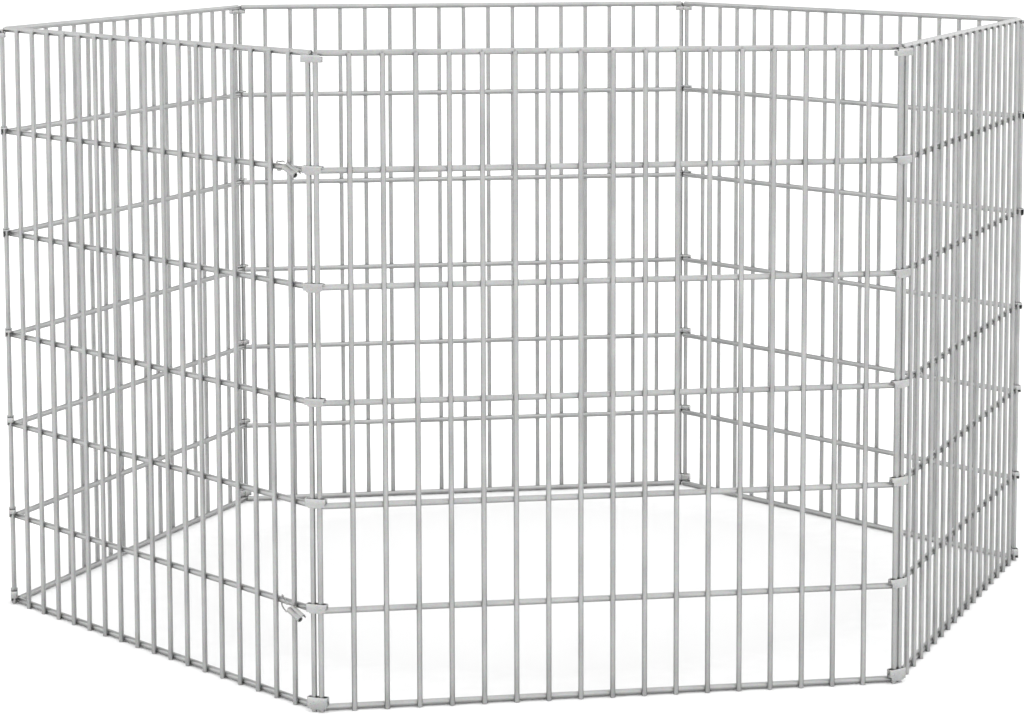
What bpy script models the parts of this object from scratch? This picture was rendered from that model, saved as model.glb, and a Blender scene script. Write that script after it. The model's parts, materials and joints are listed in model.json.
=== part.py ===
# Folding animal pen: six welded wire panels in a ring, joined at each corner by seven sheet-metal
# clips, with two swinging latches beside one corner.
# Metres, +Z up. The pen stands on z = 0, its centre is on the Z axis and the front panel faces -Y.

import bmesh
import bpy
from math import cos, pi, radians, sin
from mathutils import Matrix, Vector

MM = 0.001
COLLECTION = "animal_pen"

# Welded wire grid. Row spacings run from axis to axis, and the upper rows are evenly spaced.
UPRIGHT_DIAMETER = 5.0 * MM
ROW_DIAMETER = 5.8 * MM
WIRE_SIDES = 6
UPRIGHT_PITCH = 30.0 * MM
UPRIGHT_COUNT = 19
BOTTOM_ROW_SPACING = 89.7 * MM
SECOND_ROW_SPACING = 96.7 * MM
THIRD_ROW_SPACING = 94.4 * MM
UPPER_ROW_SPACING = 105.5 * MM
UPPER_ROW_COUNT = 3
WELD_SETDOWN = 1.2 * MM
UPRIGHT_OVERRUN = 0.5 * MM
ROW_END_INSET = 1.15 * MM

# Ring of panels
PANEL_NAMES = ["front", "right_front", "right_back", "back", "left_back", "left_front"]
FIXED_PANEL = PANEL_NAMES.index("right_back")
LATCH_PANEL = PANEL_NAMES.index("left_front")
CORNER_WIRE_SPACING = 7.24 * MM

# Corner clips. Each band is (lower edge, upper edge) above its row's wire axis, from top to bottom.
CLIP_SHEET = 1.0 * MM
CLIP_END_ROOM = 3.1 * MM
CLIP_CORNER_CUT = 1.4 * MM
CLIP_BANDS = [
    (-8.0 * MM, -1.1 * MM),
    (-3.2 * MM, 4.8 * MM),
    (-3.8 * MM, 4.4 * MM),
    (-2.1 * MM, 5.5 * MM),
    (-0.6 * MM, 8.0 * MM),
    (-1.1 * MM, 7.5 * MM),
    (3.5 * MM, 10.5 * MM),
]

# Latches on the left front panel: row, and height of the hook roll's far end above that row's axis.
LATCHES = {"upper_latch": (1, 2.3 * MM), "lower_latch": (5, -1.6 * MM)}
LINK_DIAMETER = 1.8 * MM
LINK_PIVOT_FROM_EDGE = 53.5 * MM
LINK_EYE_BACK = 6.3 * MM
LINK_EYE_FRONT = 8.0 * MM
LINK_WAIST = 0.55
LINK_WAIST_WIDTH = 0.8
LINK_WAIST_RISE = 0.3
LINK_TAIL_BEND = 3.0 * MM
LINK_TAIL_INSET = 1.0 * MM
LINK_END_SHORT = 6.0 * MM
ROLL_STANDOFF = 9.0 * MM
ROLL_FROM_EDGE = 8.5 * MM
ROLL_LENGTH = 18.6 * MM
ROLL_TILT = radians(20)
ROLL_SEAM = radians(10)
HOOK_SHEET = 1.1 * MM
HOOK_REACH = 3.9 * MM
HOOK_BEND = 1.65 * MM
HOOK_WRAP = radians(110)
HOOK_LIP = 1.1 * MM
HOOK_LIP_TURN = radians(45)

RUNNING_GAP = 0.3 * MM

# Sizes that follow from the ones above
UPRIGHT_RADIUS = UPRIGHT_DIAMETER / 2
ROW_RADIUS = ROW_DIAMETER / 2
LINK_RADIUS = LINK_DIAMETER / 2
PANEL_WIDTH = UPRIGHT_PITCH * (UPRIGHT_COUNT - 1)
BOTTOM_ROW = ROW_RADIUS + UPRIGHT_OVERRUN
LOWER_ROW_SPACINGS = [BOTTOM_ROW_SPACING, SECOND_ROW_SPACING, THIRD_ROW_SPACING]
ROW_SPACINGS = LOWER_ROW_SPACINGS + [UPPER_ROW_SPACING] * UPPER_ROW_COUNT
ROW_Z = [BOTTOM_ROW + sum(ROW_SPACINGS[:i]) for i in range(len(ROW_SPACINGS), -1, -1)]
ROW_SETBACK = UPRIGHT_RADIUS + ROW_RADIUS - WELD_SETDOWN
SIDES = len(PANEL_NAMES)
TURN = 2 * pi / SIDES
CORNER_INSET = CORNER_WIRE_SPACING / 2 / cos(TURN / 2)
PANEL_APOTHEM = (PANEL_WIDTH / 2 + CORNER_INSET) / (sin(TURN / 2) / cos(TURN / 2))
CLIP_HALF_DEPTH = UPRIGHT_RADIUS + RUNNING_GAP
CLIP_HALF_LENGTH = CORNER_WIRE_SPACING / 2 + UPRIGHT_RADIUS + CLIP_END_ROOM
CLIP_CLEAR_OF_ROW = ROW_RADIUS + RUNNING_GAP


def clear_scene():
    for obj in list(bpy.data.objects):
        bpy.data.objects.remove(obj, do_unlink=True)


def material(name, colour, metallic, roughness):
    made = bpy.data.materials.new(name)
    made.use_nodes = True
    shader = made.node_tree.nodes["Principled BSDF"]
    shader.inputs["Base Color"].default_value = (*colour, 1)
    shader.inputs["Metallic"].default_value = metallic
    shader.inputs["Roughness"].default_value = roughness
    return made


def object_of(name, data):
    obj = bpy.data.objects.new(name, data)
    bpy.data.collections[COLLECTION].objects.link(obj)
    return obj


def hold(obj, world, parent):
    """Places an object in the world as a child of its parent."""
    obj.parent = parent
    obj.matrix_world = world
    bpy.context.view_layer.update()
    return obj


def piece(name, mesh, made_of, world, parent):
    mesh.materials.clear()
    mesh.materials.append(made_of)
    mesh.shade_smooth()
    mesh.set_sharp_from_angle(angle=radians(70))
    return hold(object_of(name, mesh), world, parent)


def empty(name, world, parent=None):
    made = object_of(name, None)
    made.empty_display_size = UPRIGHT_PITCH
    return hold(made, world, parent)


def mesh_of(name, shape):
    mesh = bpy.data.meshes.new(name)
    shape.to_mesh(mesh)
    shape.free()
    return mesh


def baked(obj):
    """The mesh of an object with its modifiers applied; the object itself is removed."""
    bpy.context.view_layer.update()
    graph = bpy.context.evaluated_depsgraph_get()
    mesh = bpy.data.meshes.new_from_object(obj.evaluated_get(graph))
    bpy.data.objects.remove(obj, do_unlink=True)
    return mesh


def add_rod(shape, centre, radius, length, axis):
    turn = Matrix.Rotation(pi / 2, 4, "Y") if axis == "X" else Matrix.Identity(4)
    bmesh.ops.create_cone(
        shape,
        cap_ends=True,
        segments=WIRE_SIDES,
        radius1=radius,
        radius2=radius,
        depth=length,
        matrix=Matrix.Translation(centre) @ turn,
    )


# A panel's own frame: origin at the foot of its left edge upright, seen from outside;
# x runs to the right edge upright and y points into the pen.
def uprights_mesh():
    shape = bmesh.new()
    height = ROW_Z[0]
    for i in range(UPRIGHT_COUNT):
        add_rod(shape, (i * UPRIGHT_PITCH, 0, height / 2), UPRIGHT_RADIUS, height, "Z")
    return mesh_of("uprights", shape)


def rows_mesh():
    shape = bmesh.new()
    length = PANEL_WIDTH - 2 * ROW_END_INSET
    for z in ROW_Z:
        add_rod(shape, (PANEL_WIDTH / 2, ROW_SETBACK, z), ROW_RADIUS, length, "X")
    return mesh_of("rows", shape)


def panel_mesh():
    uprights = object_of("uprights", uprights_mesh())
    rows = object_of("rows", rows_mesh())
    weld = uprights.modifiers.new("weld", "BOOLEAN")
    weld.operation = "UNION"
    weld.solver = "EXACT"
    weld.object = rows
    mesh = baked(uprights)
    bpy.data.objects.remove(rows, do_unlink=True)
    return mesh


def panel_frame(index):
    """Places a panel's own frame. Panel 0 faces -Y, and the rest follow anticlockwise from above."""
    start = Matrix.Translation((-PANEL_WIDTH / 2, -PANEL_APOTHEM, 0))
    return Matrix.Rotation(index * TURN, 4, "Z") @ start


def clip_frame(index):
    """A clip's own frame, at the corner on a panel's right: x along the chord, y into the pen."""
    edge = Matrix.Translation((PANEL_WIDTH, 0, 0)) @ Matrix.Rotation(TURN / 2, 4, "Z")
    return panel_frame(index) @ edge @ Matrix.Translation((CORNER_WIRE_SPACING / 2, 0, 0))


def clip_outline():
    """Middle line of the band's plan, a rectangle with each corner cut off."""
    x = CLIP_HALF_LENGTH + CLIP_SHEET / 2
    y = CLIP_HALF_DEPTH + CLIP_SHEET / 2
    quarter = [(x, y - CLIP_CORNER_CUT), (x - CLIP_CORNER_CUT, y)]
    half = quarter + [(-a, b) for a, b in reversed(quarter)]
    return half + [(-a, -b) for a, b in half]


def band_limits(row):
    """Lower edge, clear edges of the closed hoop, and upper edge of a row's clip."""
    low, high = CLIP_BANDS[row]
    if row == 0:
        return low, low, -CLIP_CLEAR_OF_ROW, high
    return low, max(low, CLIP_CLEAR_OF_ROW), high, high


def clip_surface(row):
    """Sheet band: a closed hoop clear of the row, and an outer wall that covers the row's height."""
    outline = clip_outline()
    count = len(outline)
    levels = sorted(set(band_limits(row)))
    hoop_low, hoop_high = band_limits(row)[1:3]
    shape = bmesh.new()
    rings = [[shape.verts.new((x, y, z)) for x, y in outline] for z in levels]
    for i, (lower, upper) in enumerate(zip(rings, rings[1:])):
        is_hoop = hoop_low <= levels[i] and levels[i + 1] <= hoop_high
        for a in range(count):
            b = (a + 1) % count
            is_front = outline[a][1] == outline[b][1] < 0
            if is_hoop or is_front:
                shape.faces.new((lower[a], lower[b], upper[b], upper[a]))
    bmesh.ops.delete(shape, geom=[v for v in shape.verts if not v.link_faces], context="VERTS")
    return shape


def sheet_metal(name, shape, thickness):
    """Gives a surface its thickness, half to each side."""
    obj = object_of(name, mesh_of(name, shape))
    sheet = obj.modifiers.new("sheet", "SOLIDIFY")
    sheet.thickness = thickness
    sheet.offset = 0
    sheet.use_even_offset = True
    return baked(obj)


# A latch's own frame: x along the panel, y into the pen, z up, as in the panel's frame.
def link_pivot(row):
    return Vector((PANEL_WIDTH - LINK_PIVOT_FROM_EDGE, ROW_SETBACK, ROW_Z[row]))


def link_points(row, roll_height):
    """Path of the bent wire: its tail in the hook's roll, then once round the panel's wire."""
    pivot = link_pivot(row)
    roll = roll_start(row, roll_height)
    along = Vector((roll.x - pivot.x, roll.y - pivot.y, 0))
    reach = along.length
    along.normalize()
    eye = ROW_RADIUS + RUNNING_GAP + LINK_RADIUS
    waist = reach * LINK_WAIST
    half_waist = eye * LINK_WAIST_WIDTH
    waist_rise = roll_height * LINK_WAIST_RISE
    above_tail = roll_height + LINK_DIAMETER + 2 * RUNNING_GAP
    bow = [(-LINK_EYE_BACK - eye * sin(a), -eye * cos(a)) for a in (0, pi / 4, pi / 2, 3 * pi / 4, pi)]
    lower = [(reach - LINK_TAIL_BEND, roll_height), (waist, waist_rise - half_waist)]
    upper = [(waist, waist_rise + half_waist), (reach - LINK_END_SHORT, above_tail)]
    legs = lower + [(LINK_EYE_FRONT, -eye)] + bow + [(LINK_EYE_FRONT, eye)] + upper
    path = [pivot + along * s + Vector((0, 0, z)) for s, z in legs]
    return [roll + roll_axis() * (ROLL_LENGTH - LINK_TAIL_INSET), roll] + path


def roll_axis():
    return Vector((cos(ROLL_TILT), 0, -sin(ROLL_TILT)))


def roll_start(row, roll_height):
    """Far end of the hook's roll, the one farther from the corner."""
    x = PANEL_WIDTH - ROLL_FROM_EDGE - ROLL_LENGTH * cos(ROLL_TILT)
    return Vector((x, -ROLL_STANDOFF, ROW_Z[row] + roll_height))


def link_mesh(row, roll_height):
    curve = bpy.data.curves.new("link", "CURVE")
    curve.dimensions = "3D"
    curve.resolution_u = 3
    curve.bevel_depth = LINK_RADIUS
    curve.bevel_resolution = 1
    curve.use_fill_caps = True
    points = link_points(row, roll_height)
    spline = curve.splines.new("BEZIER")
    spline.bezier_points.add(len(points) - 1)
    for knot, point in zip(spline.bezier_points, points):
        knot.co = point
        knot.handle_left_type = "AUTO"
        knot.handle_right_type = "AUTO"
    spline.bezier_points[0].handle_right_type = "VECTOR"
    spline.bezier_points[1].handle_left_type = "VECTOR"
    return baked(object_of("link", curve))


def arc(centre, radius, start, end, steps):
    turns = [start + (end - start) * i / steps for i in range(steps + 1)]
    return [(centre[0] + radius * cos(t), centre[1] + radius * sin(t)) for t in turns]


def hook_profile():
    """Middle line of the sheet: a closed roll, over its top, and down a hook with a turned-out lip."""
    roll = LINK_RADIUS + RUNNING_GAP + HOOK_SHEET / 2
    over = arc((HOOK_REACH, roll - HOOK_BEND), HOOK_BEND, pi / 2, pi / 2 - HOOK_WRAP, 4)
    v, w = over[-1]
    w -= HOOK_LIP
    lip = [(v, w), (v + HOOK_LIP * sin(HOOK_LIP_TURN), w - HOOK_LIP * cos(HOOK_LIP_TURN))]
    return arc((0, 0), roll, ROLL_SEAM, -1.5 * pi, 10) + over + lip


def hook_mesh(row, roll_height):
    origin = roll_start(row, roll_height)
    axis = roll_axis()
    up = Vector((sin(ROLL_TILT), 0, cos(ROLL_TILT)))
    shape = bmesh.new()
    ends = []
    for end in (0, ROLL_LENGTH):
        line = [origin + axis * end + Vector((0, v, 0)) + up * w for v, w in hook_profile()]
        ends.append([shape.verts.new(point) for point in line])
    for i in range(len(ends[0]) - 1):
        shape.faces.new((ends[0][i], ends[0][i + 1], ends[1][i + 1], ends[1][i]))
    return sheet_metal("hook", shape, HOOK_SHEET)


def hinges():
    """One empty per panel on the axis that it folds about, each a child of the last panel's.
    The ring is opened at the front left corner, so both chains start at the right back panel."""
    made = {FIXED_PANEL: empty("pen", Matrix.Identity(4))}
    for index in range(FIXED_PANEL + 1, SIDES):
        made[index] = empty(f"hinge_c{index}", panel_frame(index), made[index - 1])
    for index in range(FIXED_PANEL - 1, -1, -1):
        made[index] = empty(f"hinge_c{index + 1}", panel_frame(index + 1), made[index + 1])
    return made


def add_latch(name, row, roll_height, held_by):
    place = panel_frame(LATCH_PANEL)
    swing = empty(name + "_swing", place @ Matrix.Translation(link_pivot(row)), held_by)
    turn = Matrix.Translation(roll_start(row, roll_height)) @ Matrix.Rotation(ROLL_TILT, 4, "Y")
    roll = empty(name + "_roll", place @ turn, swing)
    wire = material(name + "_wire", (0.58, 0.58, 0.57), 1.0, 0.3)
    strip = material(name + "_strip", (0.62, 0.62, 0.6), 1.0, 0.28)
    piece(name + "_link", link_mesh(row, roll_height), wire, place, swing)
    piece(name + "_hook", hook_mesh(row, roll_height), strip, place, roll)


def main():
    clear_scene()
    bpy.context.scene.collection.children.link(bpy.data.collections.new(COLLECTION))
    wire = material("galvanised_wire", (0.56, 0.57, 0.58), 1.0, 0.38)
    strip = material("clip_strip", (0.64, 0.65, 0.66), 1.0, 0.3)
    grid = panel_mesh()
    bands = [sheet_metal("clip", clip_surface(row), CLIP_SHEET) for row in range(len(ROW_Z))]
    hinge = hinges()
    for index, name in enumerate(PANEL_NAMES):
        piece("panel_" + name, grid, wire, panel_frame(index), hinge[index])
        corner = (index + 1) % SIDES
        for row, band in enumerate(bands):
            place = clip_frame(index) @ Matrix.Translation((0, 0, ROW_Z[row]))
            piece(f"clip_c{corner}_row{row + 1}", band, strip, place, hinge[index])
    for name, (row, roll_height) in LATCHES.items():
        add_latch(name, row, roll_height, hinge[LATCH_PANEL])


main()
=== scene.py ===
# Looks of the folding animal pen: round galvanised wire with its welds, sheet-metal corner clips
# and the two latches. Metres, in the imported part's own frame.

import json
import math

import bmesh
import bpy
from mathutils import Matrix, Vector

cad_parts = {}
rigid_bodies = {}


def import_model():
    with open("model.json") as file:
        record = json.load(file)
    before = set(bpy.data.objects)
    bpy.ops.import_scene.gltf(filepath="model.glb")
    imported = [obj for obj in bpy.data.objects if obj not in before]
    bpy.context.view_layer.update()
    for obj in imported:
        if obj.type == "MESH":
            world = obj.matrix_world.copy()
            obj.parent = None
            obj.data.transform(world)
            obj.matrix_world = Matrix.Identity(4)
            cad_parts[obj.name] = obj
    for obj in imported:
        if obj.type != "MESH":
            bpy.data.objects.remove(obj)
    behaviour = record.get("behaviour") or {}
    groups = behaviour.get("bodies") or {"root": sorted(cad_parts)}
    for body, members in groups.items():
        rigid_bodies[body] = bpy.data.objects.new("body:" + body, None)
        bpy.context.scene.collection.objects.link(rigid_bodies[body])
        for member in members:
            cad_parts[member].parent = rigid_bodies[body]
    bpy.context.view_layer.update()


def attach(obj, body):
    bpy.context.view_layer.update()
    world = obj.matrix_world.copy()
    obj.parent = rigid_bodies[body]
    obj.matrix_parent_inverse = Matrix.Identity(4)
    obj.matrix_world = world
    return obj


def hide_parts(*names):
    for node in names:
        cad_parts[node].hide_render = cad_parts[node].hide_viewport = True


MM = 0.001

# Welded wire grid
UPRIGHT_RADIUS = 2.5 * MM
ROW_RADIUS = 2.9 * MM
WIRE_FACETS = 16
CUT_EDGE = 0.35 * MM
CUT_END_SCALE = 0.86
UPRIGHT_PITCH = 30 * MM
UPRIGHT_COUNT = 19
ROW_Z = [z * MM for z in (600.3, 495.2, 389.7, 284.2, 189.8, 93.1, 3.4)]
ROW_SETBACK = 4.2 * MM
ROW_END_INSET = 1.15 * MM

# Weld bead at each crossing: its half sizes, and how far each bead's differ from them
WELD_SIZE = (2.25 * MM, 0.9 * MM, 1.95 * MM)
WELD_FACETS = 8
WELD_RINGS = 5
WELD_SMALLEST = (0.88, 0.9, 0.88)
WELD_LARGEST = (1.08, 1.1, 1.08)

# Ring of panels
PANELS = ["front", "right_front", "right_back", "back", "left_back", "left_front"]
LATCH_PANEL = PANELS.index("left_front")
CORNER_WIRE_SPACING = 7.24 * MM

# Sheet metal
SHEARED_EDGE = 0.22 * MM
SHEARED_EDGE_STEPS = 2
SHEARED_ANGLE = math.radians(50)
BEND_STEPS = 6

# Corner clips. Each row gives, from top to bottom, the lower and upper edge of the middle plate
# above the row's axis, and how far the plate hangs below the ears beside it.
CLIP_SHEET = 1.0 * MM
CLIP_HALF_LENGTH = 9.72 * MM
CLIP_HALF_DEPTH = 3.28 * MM
CLIP_BEND_RADIUS = 1.8 * MM
CLIP_PLATE_HALF = 6.4 * MM
CLIP_SEAM = 0.35 * MM
EAR_REACH_INTO_BEND = 0.35
ROW_CLEARANCE = 3.2 * MM
CLIP_BANDS = [
    (-8.0 * MM, -1.1 * MM, 0.0),
    (-3.2 * MM, 4.8 * MM, 1.3 * MM),
    (-3.8 * MM, 4.4 * MM, 1.4 * MM),
    (-2.1 * MM, 5.5 * MM, 1.3 * MM),
    (-0.6 * MM, 8.0 * MM, 1.0 * MM),
    (-1.1 * MM, 7.5 * MM, 1.0 * MM),
    (-0.7 * MM, 10.5 * MM, 0.8 * MM),
]

# Latches: row counted from 0 at the top, height of the roll's far end above the row's axis, and the
# ring wire's way in the panel's frame from that end round the row, in mm from the panel's right edge
# and the row's axis
LATCHES = {
    "upper_latch": (
        1,
        2.3 * MM,
        [
            (-32, -7, 0.6), (-38, -3.8, -1.6), (-45, -0.4, -2.9), (-50, 2, -3.4),
            (-54.5, 4.2, -3.85), (-59, 6.7, -3.3), (-62, 8.4, -2), (-62.9, 8.9, 0),
            (-62, 8.4, 2.6), (-59, 6.7, 4.2), (-50, 2, 4.8), (-40, -2.4, 5.8),
            (-30.5, -6.4, 6.9), (-27.4, -7.6, 6.5),
        ],
    ),
    "lower_latch": (
        5,
        -1.6 * MM,
        [
            (-31, -7.4, -4.6), (-38, -3.8, -6.7), (-46, 0.4, -7.3), (-54, 3.8, -6.8),
            (-60, 6.8, -5.2), (-62.6, 8.6, -2.6), (-62.9, 8.9, 0), (-62, 8.4, 2),
            (-59, 6.7, 3.3), (-54.5, 4.2, 3.85), (-50, 2, 3.4), (-45, -0.4, 2.9), (-40, -2.8, 2),
            (-35, -5, 0.8),
        ],
    ),
}
LINK_RADIUS = 0.7 * MM
LINK_TAIL_INSET = 1.0 * MM
LINK_STEPS = 8
LINK_ROUNDNESS = 4
MERGE_DISTANCE = 0.01 * MM

# Rolled and hooked strip of a latch. Arcs run in degrees from the first angle to the second.
ROLL_STANDOFF = 9.0 * MM
ROLL_FROM_EDGE = 8.5 * MM
ROLL_LENGTH = 18.6 * MM
ROLL_TILT = math.radians(20)
ROLL_RADIUS = 2.1 * MM
ROLL_ARC = (-5, -320)
ROLL_STEPS = 30
HOOK_SHEET = 1.1 * MM
HOOK_REACH = 3.9 * MM
HOOK_BEND = 1.65 * MM
HOOK_ARC = (150, -35)
HOOK_STEPS = 14
HOOK_LIP = 0.9 * MM
HOOK_LIP_TURN = 0.7
HOOK_CANT = math.radians(32)

# Zinc finishes: darkest and lightest tint, least and most roughness, crystals and clouds per metre,
# strength of the relief, and whether the streaks follow each wire of a grid
ZINC = {
    "galvanised_wire": {
        "tints": ((0.31, 0.313, 0.311), (0.41, 0.413, 0.41)),
        "rough": (0.28, 0.42),
        "crystals": 900,
        "clouds": 30,
        "relief": 0.25,
        "along_wire": True,
    },
    "weld_scar": {
        "tints": ((0.26, 0.26, 0.255), (0.36, 0.36, 0.355)),
        "rough": (0.38, 0.55),
        "crystals": 1400,
        "clouds": 120,
        "relief": 0.4,
        "along_wire": True,
    },
    "clip_strip": {
        "tints": ((0.345, 0.348, 0.346), (0.445, 0.448, 0.445)),
        "rough": (0.2, 0.34),
        "crystals": 700,
        "clouds": 60,
        "relief": 0.15,
    },
    "latch_wire": {
        "tints": ((0.3, 0.3, 0.295), (0.4, 0.4, 0.39)),
        "rough": (0.2, 0.32),
        "crystals": 900,
        "clouds": 80,
        "relief": 0.15,
    },
    "latch_strip": {
        "tints": ((0.3, 0.302, 0.298), (0.4, 0.402, 0.395)),
        "rough": (0.2, 0.34),
        "crystals": 700,
        "clouds": 60,
        "relief": 0.15,
    },
}
WIRE_STREAKS = (900, 900, 14)
SHEET_STREAKS = (160, 160, 520)
STREAK_SHARE = 0.45
TINT_RANGE = (0.45, 0.95)
ROUGH_RANGE = (0.4, 1.0)
CRYSTAL_TINT = 0.12
RELIEF_DEPTH = 0.1 * MM

# Studio. The floor's painted shade: its tones go with half the distance from the pen's middle in
# metres, greyer near the pen, so that the wire's undersides reflect a darker floor. The sky's go
# from behind the camera at 0 to beyond the pen at 1, and it dims towards its top.
FLOOR_SIZE = 60
FLOOR_PAINTED_SHADE_TONES = [(0.2, 0.7), (0.34, 0.94)]
FLOOR_DISTANCE_SHARE = 0.5
FIBRES = 40.0
FIBRE_SHARE = 0.03
SKY_TONES = [(0.0, 0.72), (0.6, 0.74), (0.85, 0.7), (1.0, 0.48)]
SKY_TOP = 0.72
SKY_STRENGTH = 2.68
LAMP_PLACE = Vector((0.3, -0.6, 3.4))
LAMP_TARGET = Vector((0, 0, 0.3))
LAMP_SIZE = 3.0
LAMP_POWER = 12

# Camera, fitted to the picture's wire grid
LENS = 106.31
SENSOR_WIDTH = 36
LENS_SHIFT = (-0.074, -0.137)
CAMERA_PLACE = (-0.5233, -3.1604, 0.7602)
CAMERA_PITCH = math.radians(6.591)
CAMERA_YAW = math.radians(10.542)
FARTHEST_SEEN = 200

PANEL_WIDTH = UPRIGHT_PITCH * (UPRIGHT_COUNT - 1)
TURN = math.tau / len(PANELS)
CORNER_INSET = CORNER_WIRE_SPACING / 2 / math.cos(TURN / 2)
PANEL_APOTHEM = (PANEL_WIDTH / 2 + CORNER_INSET) / math.tan(TURN / 2)


# Node helpers
def feed(tree, socket, value):
    """Sets an input to a value, or links it to another node's output."""
    if isinstance(value, bpy.types.NodeSocket):
        tree.links.new(value, socket)
    else:
        socket.default_value = value


def node(tree, kind, settings=None, **inputs):
    """Adds a node. An input is given by its name, with _ for a space, as a value or as a socket."""
    made = tree.nodes.new(kind)
    for name, value in (settings or {}).items():
        setattr(made, name, value)
    for name, value in inputs.items():
        feed(tree, made.inputs[name.replace("_", " ")], value)
    return made


def maths(tree, operation, *values):
    made = node(tree, "ShaderNodeMath", {"operation": operation})
    for socket, value in zip(made.inputs, values):
        feed(tree, socket, value)
    return made.outputs[0]


def vector(tree, x=0.0, y=0.0, z=0.0):
    return node(tree, "ShaderNodeCombineXYZ", X=x, Y=y, Z=z).outputs[0]


def ramp(tree, factor, stops):
    """A colour ramp through (position, value or colour) stops."""
    made = node(tree, "ShaderNodeValToRGB", Fac=factor)
    points = made.color_ramp.elements
    while len(points) < len(stops):
        points.new(0.5)
    for point, (place, value) in zip(points, stops):
        point.position = place
        point.color = (*value, 1) if isinstance(value, tuple) else (value, value, value, 1)
    return made.outputs["Color"]


# Finishes
def new_finish(name):
    finish = bpy.data.materials.new(name)
    finish.use_nodes = True
    return finish, finish.node_tree, finish.node_tree.nodes["Principled BSDF"]


def zinc_finish(name, tints, rough, crystals, clouds, relief, along_wire=False):
    """Zinc on steel: cloudy tints with streaks, a grain of crystals and a fine relief."""
    finish, tree, shader = new_finish(name)
    place = node(tree, "ShaderNodeTexCoord").outputs["Object"]
    along, stretch = place, SHEET_STREAKS
    if along_wire:
        along = node(tree, "ShaderNodeAttribute", {"attribute_name": "wire_place"}).outputs["Vector"]
        stretch = WIRE_STREAKS
    drawn = node(tree, "ShaderNodeMapping", Vector=along, Scale=stretch).outputs[0]
    streaks = node(tree, "ShaderNodeTexNoise", Vector=drawn, Scale=1.0, Detail=3.0).outputs["Fac"]
    cloudy = node(tree, "ShaderNodeTexNoise", Vector=place, Scale=clouds, Detail=4.0).outputs["Fac"]
    grain = node(tree, "ShaderNodeTexVoronoi", Vector=place, Scale=crystals, Randomness=1.0)
    mixed = maths(tree, "MULTIPLY_ADD", streaks, STREAK_SHARE, cloudy)
    speckled = node(
        tree,
        "ShaderNodeMix",
        {"data_type": "RGBA", "blend_type": "MULTIPLY"},
        Factor=CRYSTAL_TINT,
        A=ramp(tree, mixed, list(zip(TINT_RANGE, tints))),
        B=grain.outputs["Color"],
    )
    polish = node(
        tree,
        "ShaderNodeMapRange",
        Value=mixed,
        From_Min=ROUGH_RANGE[0],
        From_Max=ROUGH_RANGE[1],
        To_Min=rough[0],
        To_Max=rough[1],
    )
    height = maths(tree, "ADD", streaks, grain.outputs["Distance"])
    bump = node(tree, "ShaderNodeBump", Strength=relief, Distance=RELIEF_DEPTH, Height=height)
    feed(tree, shader.inputs["Base Color"], speckled.outputs["Result"])
    feed(tree, shader.inputs["Roughness"], polish.outputs[0])
    feed(tree, shader.inputs["Normal"], bump.outputs["Normal"])
    shader.inputs["Metallic"].default_value = 1.0
    return finish


# Geometry Nodes helpers
def open_tree(name, inputs):
    """A Geometry Nodes tree with named inputs, and its input node's sockets by name."""
    tree = bpy.data.node_groups.new(name, "GeometryNodeTree")
    tree.interface.new_socket("Geometry", in_out="INPUT", socket_type="NodeSocketGeometry")
    for label, kind, value in inputs:
        socket = tree.interface.new_socket(label, in_out="INPUT", socket_type="NodeSocket" + kind)
        if value is not None:
            socket.default_value = value
    tree.interface.new_socket("Geometry", in_out="OUTPUT", socket_type="NodeSocketGeometry")
    return tree, tree.nodes.new("NodeGroupInput").outputs


def close_tree(tree, geometry):
    tree.links.new(geometry, tree.nodes.new("NodeGroupOutput").inputs[0])
    return tree


def join(tree, *parts):
    made = tree.nodes.new("GeometryNodeJoinGeometry")
    for part in parts:
        tree.links.new(part, made.inputs[0])
    return made.outputs[0]


def points_along(tree, count, start, step):
    return node(
        tree, "GeometryNodeMeshLine", Count=count, Start_Location=start, Offset=step
    ).outputs[0]


def on_points(tree, points, instance, **more):
    return node(
        tree, "GeometryNodeInstanceOnPoints", Points=points, Instance=instance, **more
    ).outputs[0]


def realized(tree, geometry):
    return node(tree, "GeometryNodeRealizeInstances", Geometry=geometry).outputs[0]


def coated(tree, geometry, finish):
    """Turns instances into mesh and gives it a finish."""
    mesh = realized(tree, geometry)
    return node(tree, "GeometryNodeSetMaterial", Geometry=mesh, Material=finish).outputs[0]


def with_place(tree, mesh):
    """Keeps each point's place on its own wire in an attribute, for streaks that follow the wire."""
    return node(
        tree,
        "GeometryNodeStoreNamedAttribute",
        {"data_type": "FLOAT_VECTOR", "domain": "POINT"},
        Geometry=mesh,
        Name="wire_place",
        Value=node(tree, "GeometryNodeInputPosition").outputs[0],
    ).outputs[0]


# Wire grid
def cut_wire(tree, length, radius, edge):
    """A straight wire along Z with a broken edge at each cut end."""
    body = node(
        tree,
        "GeometryNodeMeshCylinder",
        Vertices=WIRE_FACETS,
        Radius=radius,
        Depth=maths(tree, "SUBTRACT", length, maths(tree, "MULTIPLY", edge, 2.0)),
    )
    ends = node(tree, "FunctionNodeBooleanMath", {"operation": "OR"})
    for socket, end in zip(ends.inputs, ("Top", "Bottom")):
        tree.links.new(body.outputs[end], socket)
    drawn = node(
        tree,
        "GeometryNodeExtrudeMesh",
        Mesh=body.outputs["Mesh"],
        Selection=ends.outputs[0],
        Offset_Scale=edge,
    )
    broken = node(
        tree,
        "GeometryNodeScaleElements",
        Geometry=drawn.outputs["Mesh"],
        Selection=drawn.outputs["Top"],
        Scale=CUT_END_SCALE,
    )
    return with_place(tree, broken.outputs[0])


def uprights(tree, given):
    """Upright wires, side by side along X."""
    middle = vector(tree, z=maths(tree, "MULTIPLY", given["Upright Height"], 0.5))
    step = vector(tree, x=given["Upright Pitch"])
    wire = cut_wire(tree, given["Upright Height"], given["Upright Radius"], given["Cut Edge"])
    return on_points(tree, points_along(tree, given["Upright Count"], middle, step), wire)


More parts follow.
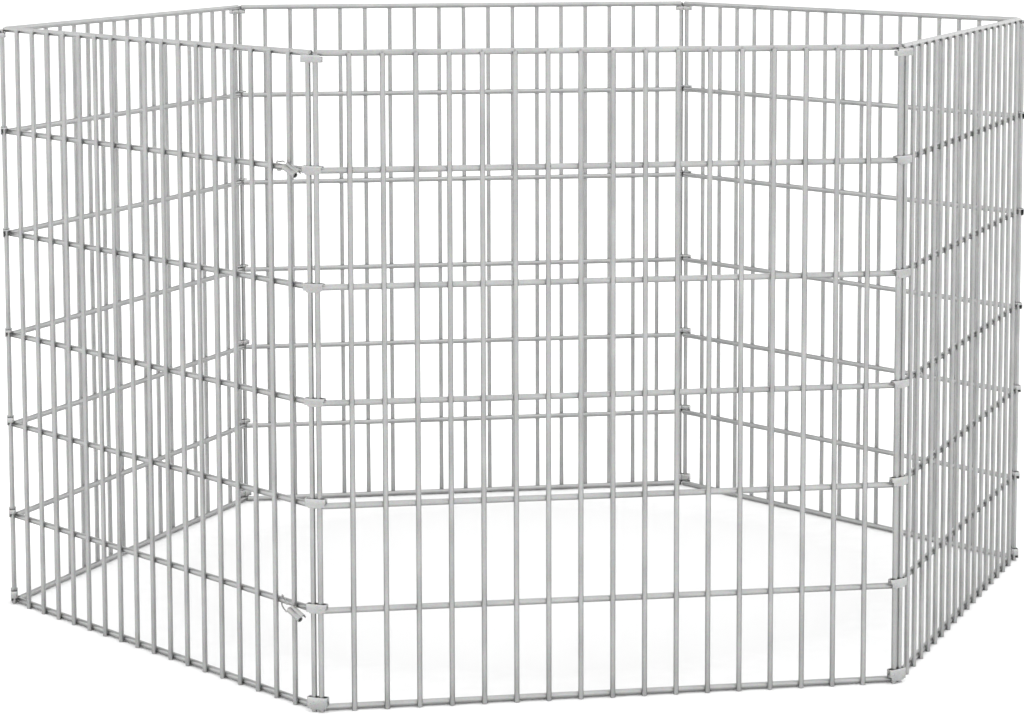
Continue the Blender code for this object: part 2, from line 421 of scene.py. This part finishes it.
def rows(tree, given):
    """Row wires behind the uprights, one at each of the guide's points."""
    gaps = maths(tree, "SUBTRACT", given["Upright Count"], 1.0)
    width = maths(tree, "MULTIPLY", gaps, given["Upright Pitch"])
    length = maths(tree, "SUBTRACT", width, maths(tree, "MULTIPLY", given["Row Inset"], 2.0))
    laid = node(
        tree,
        "GeometryNodeTransform",
        Geometry=cut_wire(tree, length, given["Row Radius"], given["Cut Edge"]),
        Rotation=(0.0, math.pi / 2, 0.0),
        Translation=vector(tree, maths(tree, "MULTIPLY", width, 0.5), given["Row Setback"]),
    )
    return on_points(tree, given["Geometry"], laid.outputs[0])


def weld_beads(tree, given):
    """A bead of its own size between the wires at each crossing."""
    between = vector(tree, y=maths(tree, "MULTIPLY", given["Row Setback"], 0.5))
    step = vector(tree, x=given["Upright Pitch"])
    row = points_along(tree, given["Upright Count"], between, step)
    crossings = realized(tree, on_points(tree, given["Geometry"], row))
    drop = node(
        tree, "GeometryNodeMeshUVSphere", Segments=WELD_FACETS, Rings=WELD_RINGS, Radius=1.0
    )
    vary = node(
        tree,
        "FunctionNodeRandomValue",
        {"data_type": "FLOAT_VECTOR"},
        Min=WELD_SMALLEST,
        Max=WELD_LARGEST,
        Seed=given["Seed"],
    )
    size = node(tree, "ShaderNodeVectorMath", {"operation": "MULTIPLY"}, Vector=given["Weld Size"])
    tree.links.new(vary.outputs["Value"], size.inputs[1])
    bead = with_place(tree, drop.outputs["Mesh"])
    return on_points(tree, crossings, bead, Scale=size.outputs[0])


def wire_grid_tree():
    """A welded panel: uprights at a pitch, rows on the guide's points and their weld beads."""
    tree, given = open_tree(
        "wire_grid",
        [
            ("Upright Radius", "Float", UPRIGHT_RADIUS),
            ("Row Radius", "Float", ROW_RADIUS),
            ("Cut Edge", "Float", CUT_EDGE),
            ("Upright Pitch", "Float", UPRIGHT_PITCH),
            ("Upright Count", "Int", UPRIGHT_COUNT),
            ("Upright Height", "Float", ROW_Z[0]),
            ("Row Setback", "Float", ROW_SETBACK),
            ("Row Inset", "Float", ROW_END_INSET),
            ("Weld Size", "Vector", WELD_SIZE),
            ("Seed", "Int", 0),
            ("Wire Finish", "Material", None),
            ("Weld Finish", "Material", None),
        ],
    )
    wires = join(tree, uprights(tree, given), rows(tree, given))
    wires = coated(tree, wires, given["Wire Finish"])
    welds = coated(tree, weld_beads(tree, given), given["Weld Finish"])
    return close_tree(tree, join(tree, wires, welds))


def corner_clips_tree():
    """Puts the seven clip shapes on the guide's points, one on each."""
    tree, given = open_tree(
        "corner_clips", [("Clip Shapes", "Collection", None), ("Clip Finish", "Material", None)]
    )
    shapes = node(
        tree,
        "GeometryNodeCollectionInfo",
        Collection=given["Clip Shapes"],
        Separate_Children=True,
        Reset_Children=True,
    )
    placed = on_points(tree, given["Geometry"], shapes.outputs[0], Pick_Instance=True)
    return close_tree(tree, coated(tree, placed, given["Clip Finish"]))


# Objects
def shown(name, mesh):
    obj = bpy.data.objects.new(name, mesh)
    bpy.context.scene.collection.objects.link(obj)
    return obj


def mesh_from(shape, name):
    mesh = bpy.data.meshes.new(name)
    shape.to_mesh(mesh)
    shape.free()
    return mesh


def flattened(obj):
    """The mesh of an object with its modifiers applied. The object is removed."""
    bpy.context.view_layer.update()
    graph = bpy.context.evaluated_depsgraph_get()
    mesh = bpy.data.meshes.new_from_object(obj.evaluated_get(graph))
    bpy.data.objects.remove(obj, do_unlink=True)
    return mesh


def grown(name, mesh, tree, values):
    """Runs a Geometry Nodes tree on a mesh and returns the plain mesh that it makes."""
    obj = shown(name, mesh)
    made = obj.modifiers.new(tree.name, "NODES")
    made.node_group = tree
    for item in tree.interface.items_tree:
        if item.in_out == "INPUT" and item.name in values:
            made[item.identifier] = values[item.name]
    return flattened(obj)


def painted(mesh, finish):
    mesh.materials.clear()
    mesh.materials.append(finish)
    return mesh


def finished(name, mesh, place, body, nodes, sharp=35):
    """Puts a mesh in its place, as a piece that rides on a body and stands for its CAD nodes."""
    mesh.transform(place)
    mesh.shade_smooth()
    mesh.set_sharp_from_angle(angle=math.radians(sharp))
    obj = shown(name, mesh)
    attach(obj, body)
    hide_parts(*nodes)


def arc(centre, radius, start, end, steps):
    turns = [math.radians(start + (end - start) * i / steps) for i in range(steps + 1)]
    return [(centre[0] + radius * math.cos(t), centre[1] + radius * math.sin(t)) for t in turns]


def sheet_metal(shape, name, thickness):
    """Gives a surface its thickness, half to each side, and breaks its sheared edges."""
    obj = shown(name, mesh_from(shape, name))
    solid = obj.modifiers.new("thickness", "SOLIDIFY")
    solid.thickness = thickness
    solid.offset = 0
    solid.use_even_offset = True
    bevel = obj.modifiers.new("sheared_edge", "BEVEL")
    bevel.width = SHEARED_EDGE
    bevel.segments = SHEARED_EDGE_STEPS
    bevel.limit_method = "ANGLE"
    bevel.angle_limit = SHEARED_ANGLE
    return flattened(obj)


# Places
def rows_guide():
    """One point on the Z axis at each row's height."""
    shape = bmesh.new()
    for z in ROW_Z:
        shape.verts.new((0, 0, z))
    return mesh_from(shape, "rows")


def panel_frame(index):
    """A panel's own frame: origin at its left upright's foot, x along it, y into the pen."""
    start = Matrix.Translation((-PANEL_WIDTH / 2, -PANEL_APOTHEM, 0))
    return Matrix.Rotation(index * TURN, 4, "Z") @ start


def clip_frame(index):
    """A clip's own frame at the corner on a panel's right: x along the chord, y into the pen."""
    edge = Matrix.Translation((PANEL_WIDTH, 0, 0)) @ Matrix.Rotation(TURN / 2, 4, "Z")
    return panel_frame(index) @ edge @ Matrix.Translation((CORNER_WIRE_SPACING / 2, 0, 0))


# Clips
def clip_outline():
    """Middle line of the bent strip, from one side of the seam round to the other."""
    x = CLIP_HALF_LENGTH - CLIP_BEND_RADIUS
    y = CLIP_HALF_DEPTH - CLIP_BEND_RADIUS
    back = arc((x, y), CLIP_BEND_RADIUS, 90, 0, BEND_STEPS)
    front = arc((x, -y), CLIP_BEND_RADIUS, 0, -90, BEND_STEPS)
    seam, plate = (CLIP_SEAM / 2, CLIP_HALF_DEPTH), (CLIP_PLATE_HALF, -CLIP_HALF_DEPTH)
    half = [seam] + back + front + [plate]
    return half + [(-a, b) for a, b in reversed(half)]


def clip_hoop(row):
    """The two heights between which a clip goes all the way round, clear of the row."""
    low, high, _ = CLIP_BANDS[row]
    return (low, -ROW_CLEARANCE) if row == 0 else (max(low, ROW_CLEARANCE), high)


def clip_mesh(row):
    """A clip: a hoop clear of the row, and in front of the row a plate with an ear on each side."""
    line = clip_outline()
    low, high, drop = CLIP_BANDS[row]
    hoop_low, hoop_high = clip_hoop(row)
    ear_low = low + drop
    front = EAR_REACH_INTO_BEND * CLIP_BEND_RADIUS - CLIP_HALF_DEPTH
    levels = sorted({low, ear_low, hoop_low, hoop_high, high})
    shape = bmesh.new()
    rings = [[shape.verts.new((x, y, z)) for x, y in line] for z in levels]
    for bottom, top, lower, upper in zip(levels, levels[1:], rings, rings[1:]):
        in_hoop = hoop_low <= bottom and top <= hoop_high
        for a, ((x1, y1), (x2, y2)) in enumerate(zip(line, line[1:])):
            in_front = max(y1, y2) < front
            in_plate = max(abs(x1), abs(x2)) <= CLIP_PLATE_HALF
            if in_hoop or (in_front and (in_plate or bottom >= ear_low)):
                shape.faces.new((lower[a], lower[a + 1], upper[a + 1], upper[a]))
    loose = [v for v in shape.verts if not v.link_faces]
    bmesh.ops.delete(shape, geom=loose, context="VERTS")
    bmesh.ops.recalc_face_normals(shape, faces=shape.faces[:])
    return sheet_metal(shape, "clip", CLIP_SHEET)


# Latches, in their panel's own frame
def roll_axis():
    return Vector((math.cos(ROLL_TILT), 0, -math.sin(ROLL_TILT)))


def roll_start(row, height):
    x = PANEL_WIDTH - ROLL_FROM_EDGE - ROLL_LENGTH * math.cos(ROLL_TILT)
    return Vector((x, -ROLL_STANDOFF, ROW_Z[row] + height))


def link_points(row, height, way):
    """Path of the bent wire: its tail in the hook's roll, then once round the panel's wire."""
    roll = roll_start(row, height)
    row_end = Vector((PANEL_WIDTH, 0, ROW_Z[row]))
    bent = [row_end + Vector(place) * MM for place in way]
    return [roll + roll_axis() * (ROLL_LENGTH - LINK_TAIL_INSET), roll] + bent


def link_mesh(row, height, way):
    curve = bpy.data.curves.new("link", "CURVE")
    curve.dimensions = "3D"
    curve.resolution_u = LINK_STEPS
    curve.bevel_depth = LINK_RADIUS
    curve.bevel_resolution = LINK_ROUNDNESS
    curve.use_fill_caps = True
    points = link_points(row, height, way)
    spline = curve.splines.new("BEZIER")
    spline.bezier_points.add(len(points) - 1)
    for knot, point in zip(spline.bezier_points, points):
        knot.co = point
        knot.handle_left_type = "AUTO"
        knot.handle_right_type = "AUTO"
    spline.bezier_points[0].handle_right_type = "VECTOR"
    spline.bezier_points[1].handle_left_type = "VECTOR"
    shape = bmesh.new()
    shape.from_mesh(flattened(shown("link", curve)))
    bmesh.ops.remove_doubles(shape, verts=shape.verts[:], dist=MERGE_DISTANCE)
    bmesh.ops.dissolve_degenerate(shape, edges=shape.edges[:], dist=MERGE_DISTANCE)
    bmesh.ops.recalc_face_normals(shape, faces=shape.faces[:])
    return mesh_from(shape, "link")


def hook_profile():
    """Middle line of the sheet: a roll, a groove, a wider bend and a lip that turns outwards.

    The whole section leans back, so that its hooked edge lies higher than the roll.
    """
    roll = arc((0, 0), ROLL_RADIUS, *ROLL_ARC, ROLL_STEPS)
    over = arc((HOOK_REACH, ROLL_RADIUS - HOOK_BEND), HOOK_BEND, *HOOK_ARC, HOOK_STEPS)
    tip_v, tip_w = over[-1]
    lip_end = (tip_v + HOOK_LIP * HOOK_LIP_TURN, tip_w - HOOK_LIP * (1 + HOOK_LIP_TURN))
    line = roll + over + [(tip_v, tip_w - HOOK_LIP), lip_end]
    cos, sin = math.cos(HOOK_CANT), math.sin(HOOK_CANT)
    return [(v * cos - w * sin, v * sin + w * cos) for v, w in line]


def hook_mesh(row, height):
    origin = roll_start(row, height)
    up = Vector((math.sin(ROLL_TILT), 0, math.cos(ROLL_TILT)))
    shape = bmesh.new()
    ends = []
    for end in (0, ROLL_LENGTH):
        start = origin + roll_axis() * end
        line = [start + Vector((0, v, 0)) + up * w for v, w in hook_profile()]
        ends.append([shape.verts.new(point) for point in line])
    near, far = ends
    for i in range(len(near) - 1):
        shape.faces.new((near[i], near[i + 1], far[i + 1], far[i]))
    return sheet_metal(shape, "hook", HOOK_SHEET)


# The pen
def add_panels(wire_finish, weld_finish):
    tree = wire_grid_tree()
    for index, name in enumerate(PANELS):
        values = {"Seed": index, "Wire Finish": wire_finish, "Weld Finish": weld_finish}
        mesh = grown("grid_" + name, rows_guide(), tree, values)
        place = panel_frame(index)
        finished("grid_" + name, mesh, place, name, ["panel_" + name], sharp=30)


def add_clips(clip_finish):
    shapes = bpy.data.collections.new("clip_shapes")
    for row in range(len(ROW_Z)):
        shapes.objects.link(bpy.data.objects.new(f"clip_shape_{row}", clip_mesh(row)))
    tree = corner_clips_tree()
    for index, name in enumerate(PANELS):
        values = {"Clip Shapes": shapes, "Clip Finish": clip_finish}
        mesh = grown("clips_" + name, rows_guide(), tree, values)
        corner = (index + 1) % len(PANELS)
        nodes = [f"clip_c{corner}_row{row + 1}" for row in range(len(ROW_Z))]
        finished("clips_" + name, mesh, clip_frame(index), name, nodes)
    for obj in list(shapes.objects):
        bpy.data.objects.remove(obj, do_unlink=True)


def add_latches(link_finish, hook_finish):
    place = panel_frame(LATCH_PANEL)
    for name, (row, height, way) in LATCHES.items():
        link = painted(link_mesh(row, height, way), link_finish)
        finished(name + "_ring", link, place, name + "_link", [name + "_link"])
        hook = painted(hook_mesh(row, height), hook_finish)
        finished(name + "_catch", hook, place, name + "_hook", [name + "_hook"])


# Studio
def paper_with_painted_shade():
    """White paper with a little fibre, and painted shade that makes it greyer under the pen, for
    darker reflections in the wire.
    """
    finish, tree, shader = new_finish("studio_paper_painted_shade")
    place = node(tree, "ShaderNodeTexCoord").outputs["Object"]
    fibre = node(tree, "ShaderNodeTexNoise", Vector=place, Scale=FIBRES, Detail=3.0).outputs["Fac"]
    out = node(tree, "ShaderNodeVectorMath", {"operation": "LENGTH"}, Vector=place).outputs["Value"]
    near_to_far = maths(tree, "MULTIPLY", out, FLOOR_DISTANCE_SHARE)
    tone = maths(tree, "ADD", near_to_far, maths(tree, "MULTIPLY", fibre, FIBRE_SHARE))
    # Painted shade: the tone ramp makes the paper greyer near the pen and white beyond it.
    feed(tree, shader.inputs["Base Color"], ramp(tree, tone, FLOOR_PAINTED_SHADE_TONES))
    shader.inputs["Roughness"].default_value = 0.9
    shader.inputs["Specular IOR Level"].default_value = 0.1
    return finish


def add_floor():
    bpy.ops.mesh.primitive_plane_add(size=FLOOR_SIZE)
    floor = bpy.context.object
    floor.name = "studio_floor"
    painted(floor.data, paper_with_painted_shade())


def add_sky():
    """A white studio, less bright at the top and beyond the pen, for tone on the round wire."""
    world = bpy.data.worlds.new("studio")
    bpy.context.scene.world = world
    world.use_nodes = True
    tree = world.node_tree
    way = node(tree, "ShaderNodeTexCoord").outputs["Generated"]
    parts = node(tree, "ShaderNodeSeparateXYZ", Vector=way).outputs
    ahead = maths(tree, "ADD", maths(tree, "MULTIPLY", parts["Y"], 0.5), 0.5)
    tone = ramp(tree, ahead, SKY_TONES)
    upward = node(tree, "ShaderNodeMapRange", Value=parts["Z"], To_Min=1.0, To_Max=SKY_TOP)
    background = tree.nodes["Background"]
    feed(tree, background.inputs["Color"], maths(tree, "MULTIPLY", tone, upward.outputs[0]))
    background.inputs["Strength"].default_value = SKY_STRENGTH


def add_lamp():
    lamp = bpy.data.lights.new("overhead", "AREA")
    lamp.shape = "DISK"
    lamp.size = LAMP_SIZE
    lamp.energy = LAMP_POWER
    obj = shown("overhead", lamp)
    obj.location = LAMP_PLACE
    obj.rotation_euler = (LAMP_TARGET - LAMP_PLACE).to_track_quat("-Z", "Y").to_euler()


def add_camera():
    lens = bpy.data.cameras.new("camera")
    lens.sensor_width = SENSOR_WIDTH
    lens.lens = LENS
    lens.shift_x, lens.shift_y = LENS_SHIFT
    lens.clip_end = FARTHEST_SEEN
    camera = shown("camera", lens)
    camera.location = CAMERA_PLACE
    camera.rotation_euler = (math.pi / 2 - CAMERA_PITCH, 0, -CAMERA_YAW)
    bpy.context.scene.camera = camera


def set_tone():
    """Shows colours as they are, so that white paper is white."""
    bpy.context.scene.view_settings.view_transform = "Standard"


def main():
    for obj in list(bpy.data.objects):
        bpy.data.objects.remove(obj, do_unlink=True)
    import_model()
    finishes = {name: zinc_finish(name, **look) for name, look in ZINC.items()}
    add_panels(finishes["galvanised_wire"], finishes["weld_scar"])
    add_clips(finishes["clip_strip"])
    add_latches(finishes["latch_wire"], finishes["latch_strip"])
    add_floor()
    add_sky()
    add_lamp()
    add_camera()
    set_tone()


main()
